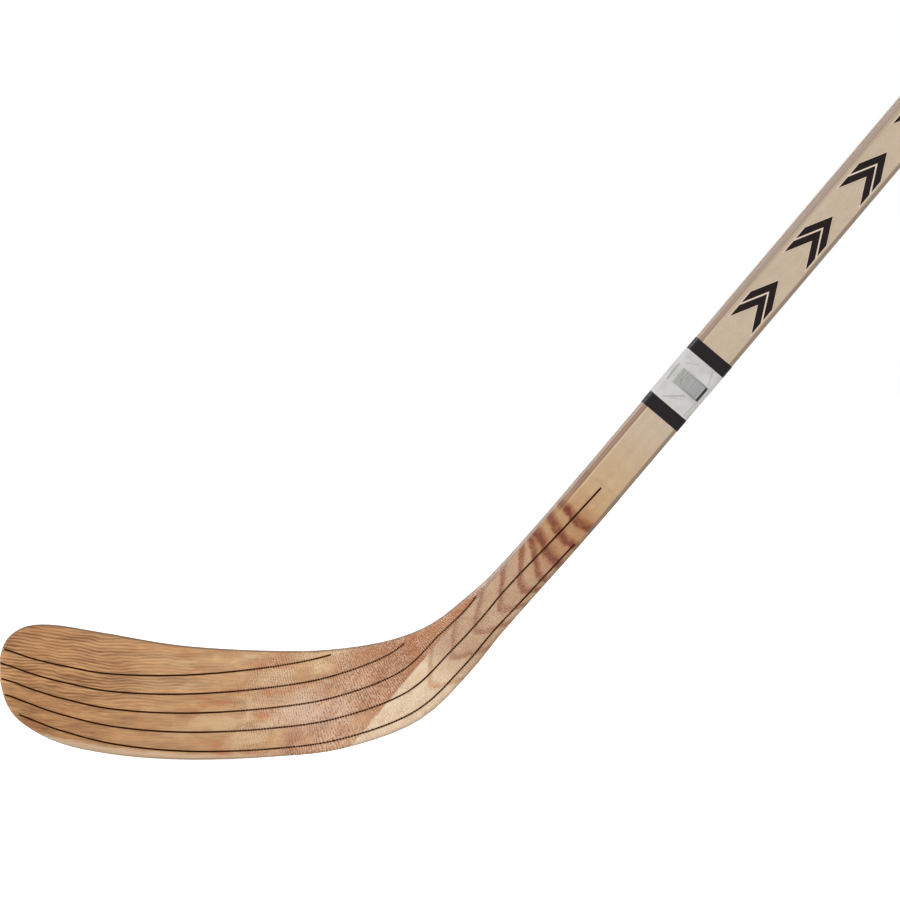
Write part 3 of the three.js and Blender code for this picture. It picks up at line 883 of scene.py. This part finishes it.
def ink(number):
    """The two black bars printed over one of the CAD's pale chevron plates."""
    middle = MARK_FIRST_S + (number - 1) * MARK_PITCH
    half = MARK_HEIGHT / 2 - INK_MARGIN
    nose_reach = (MARK_LENGTH - MARK_STROKE) * half / (MARK_HEIGHT / 2)
    stroke = (MARK_STROKE - 2 * SLANT_MARGIN - INK_GAP) / 2
    tail = -MARK_LENGTH / 2 + SLANT_MARGIN + (MARK_LENGTH - MARK_STROKE - nose_reach)
    points = []
    faces = []
    for bar in range(2):
        outline = chevron_bar(tail + bar * (stroke + INK_GAP), nose_reach, stroke, half)
        base = len(points)
        count = len(outline)
        for y in (PLATE_FACE_Y - INK_THICKNESS, PLATE_FACE_Y + INK_THICKNESS / 2):
            points.extend(on_shaft(middle + s, MARK_MIDDLE_Q + q, y) for s, q in outline)
        # An arrowhead isn't convex, so each cap is two quads that meet along its centre line.
        for quad in ((0, 1, 2, 5), (5, 2, 3, 4)):
            faces.append([base + k for k in quad])
            faces.append([base + count + k for k in reversed(quad)])
        for k in range(count):
            after = (k + 1) % count
            faces.append([base + after, base + k, base + count + k, base + count + after])
    return new_piece(f"mark_ink_{number}", points, faces, "mark_ink")


WOODEN = {
    "blade": "ash_blade",
    "heel_block": "heel_wood",
    "shaft_centre_ply": "core_ply",
    "shaft_inner_ply_front": "aspen_ply",
    "shaft_inner_ply_back": "aspen_ply",
    "shaft_outer_ply_front": "aspen_ply",
    "shaft_outer_ply_back": "aspen_ply",
    "shaft_face_veneer_front": "birch_veneer",
    "shaft_face_veneer_back": "birch_veneer",
    "glass_cloth_front": "glass_cloth",
    "glass_cloth_back": "glass_cloth",
}

for node, look in WOODEN.items():
    smooth_copy(node, look)

for node in frame["nodes"]:
    if node.startswith("tracer_yarn"):
        tracer(node)

sleeve("lower_black_band", "black_band")
sleeve("white_wrap_band", "white_wrap")
sleeve("upper_black_band", "black_band")

dress(frame["nodes"]["grey_label"], "grey_label")
for number in range(1, MARK_COUNT + 1):
    dress(frame["nodes"][f"printed_mark_{number}"], "mark_ground")
    ink(number)


# ---------------------------------------------------------------------------------------------
# Studio
# ---------------------------------------------------------------------------------------------

VIEW_MIDDLE = Vector((-0.3259, 0.0170, 0.1963))
VIEW_WIDTH = 0.5715
CAMERA_DISTANCE = 12.0
CAMERA_AZIMUTH = math.radians(-1.2)
CAMERA_ELEVATION = math.radians(0.6)
SENSOR = 36.0
FLOOR_SIZE = 60.0
FLOOR_DROP = 0.5 * MM  # how far the floor lies under the sole
FLOOR_GLOW = 0.45  # extra white that only the camera sees
WORLD_LIGHT = 0.5  # as a light; the camera sees it as 1

# Name, direction towards the light, strength and angle in degrees
SUNS = (
    ("key from the upper left", (-0.76, -0.45, 0.65), 1.5, 50),
    ("fill from the camera", (-0.1, -1.0, 0.25), 0.7, 70),
    ("rim along the upper edge", (-0.76, -0.10, 0.65), 0.5, 10),
    ("fill from behind", (0.3, 1.0, 0.35), 0.9, 70),
)


def add_camera():
    back = Vector(
        (
            math.sin(CAMERA_AZIMUTH) * math.cos(CAMERA_ELEVATION),
            -math.cos(CAMERA_AZIMUTH) * math.cos(CAMERA_ELEVATION),
            math.sin(CAMERA_ELEVATION),
        )
    )
    data = bpy.data.cameras.new("camera")
    data.sensor_width = SENSOR
    data.lens = SENSOR * CAMERA_DISTANCE / VIEW_WIDTH
    data.clip_end = 100.0
    camera = bpy.data.objects.new("camera", data)
    camera.location = VIEW_MIDDLE + back * CAMERA_DISTANCE
    camera.rotation_mode = "QUATERNION"
    camera.rotation_quaternion = (-back).to_track_quat("-Z", "Y")
    bpy.context.scene.collection.objects.link(camera)
    bpy.context.scene.camera = camera


def add_floor():
    """A plain pale floor just under the blade."""
    half = FLOOR_SIZE / 2
    corners = [(-half, -half, 0), (half, -half, 0), (half, half, 0), (-half, half, 0)]
    mesh = bpy.data.meshes.new("floor")
    mesh.from_pydata(corners, [], [(0, 1, 2, 3)])
    floor = bpy.data.objects.new("floor", mesh)
    bpy.context.scene.collection.objects.link(floor)
    floor.location.z = -FLOOR_DROP
    graph, shade = new_material("floor")
    dust = graph.noise(graph.node("TexCoord", output="Object"), detail=2.0)
    seen = graph.node("LightPath", output="Is Camera Ray")
    paint = shade(
        Base_Color=graph.mix(dust, "#f6f6f6", "#fafafa"),
        Roughness=0.9,
        Specular_IOR_Level=0.0,
        Emission_Color="#ffffff",
        Emission_Strength=seen * FLOOR_GLOW,
    )
    floor.data.materials.append(paint)


def add_sun(name, direction, strength, softness):
    """A large soft light, shining from a direction given towards it."""
    data = bpy.data.lights.new(name, "SUN")
    data.energy = strength
    data.angle = math.radians(softness)
    sun = bpy.data.objects.new(name, data)
    sun.rotation_mode = "QUATERNION"
    sun.rotation_quaternion = Vector(direction).to_track_quat("Z", "Y")
    bpy.context.scene.collection.objects.link(sun)


def add_world():
    """White all round, dimmer as a light than it looks behind the stick."""
    world = bpy.data.worlds.new("studio")
    bpy.context.scene.world = world
    world.use_nodes = True
    graph = Graph(world.node_tree)
    background = world.node_tree.nodes["Background"]
    seen = graph.node("LightPath", output="Is Camera Ray")
    graph.plug(background.inputs["Color"], "#ffffff")
    graph.plug(background.inputs["Strength"], WORLD_LIGHT + seen * (1 - WORLD_LIGHT))


add_camera()
add_floor()
add_world()
for sun in SUNS:
    add_sun(*sun)
bpy.context.scene.view_settings.view_transform = "Standard"
